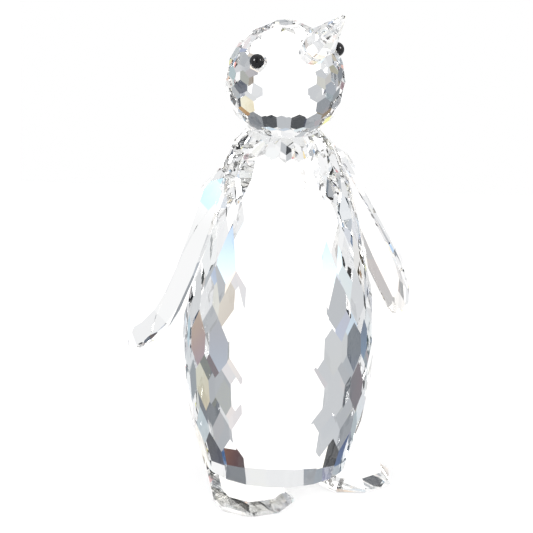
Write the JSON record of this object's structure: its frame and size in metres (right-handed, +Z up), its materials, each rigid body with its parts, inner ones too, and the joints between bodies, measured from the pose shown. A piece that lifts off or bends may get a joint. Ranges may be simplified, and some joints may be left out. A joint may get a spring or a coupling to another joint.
{
  "type": "penguin figurine",
  "caption": "Standing penguin ornament of faceted clear crystal stones bonded together, with glossy black bead eyes, slim wings and flat feet.",
  "frame": {"origin": "on the floor under the middle of the figurine's bounding box", "axes": "+Z up, the figurine faces -Y, its own left side is at +X"},
  "size_m": [0.0486, 0.0338, 0.0867],
  "materials": {
    "crystal": "ground flat facets, polished, clear",
    "black_bead": "opaque black glass, high gloss",
    "clear_adhesive": "cured clear, glossy"
  },
  "bodies": {
    "root": {"body": "crystal", "head": "crystal", "beak": "crystal", "wing_left": "crystal", "wing_right": "crystal", "foot_left": "crystal", "foot_right": "crystal", "eye_left": "black_bead", "eye_right": "black_bead", "neck_bond": "clear_adhesive", "beak_bond": "clear_adhesive", "wing_bond_left": "clear_adhesive", "wing_bond_right": "clear_adhesive", "foot_bond_left": "clear_adhesive", "foot_bond_right": "clear_adhesive", "eye_bond_left": "clear_adhesive", "eye_bond_right": "clear_adhesive"}
  },
  "joints": []
}
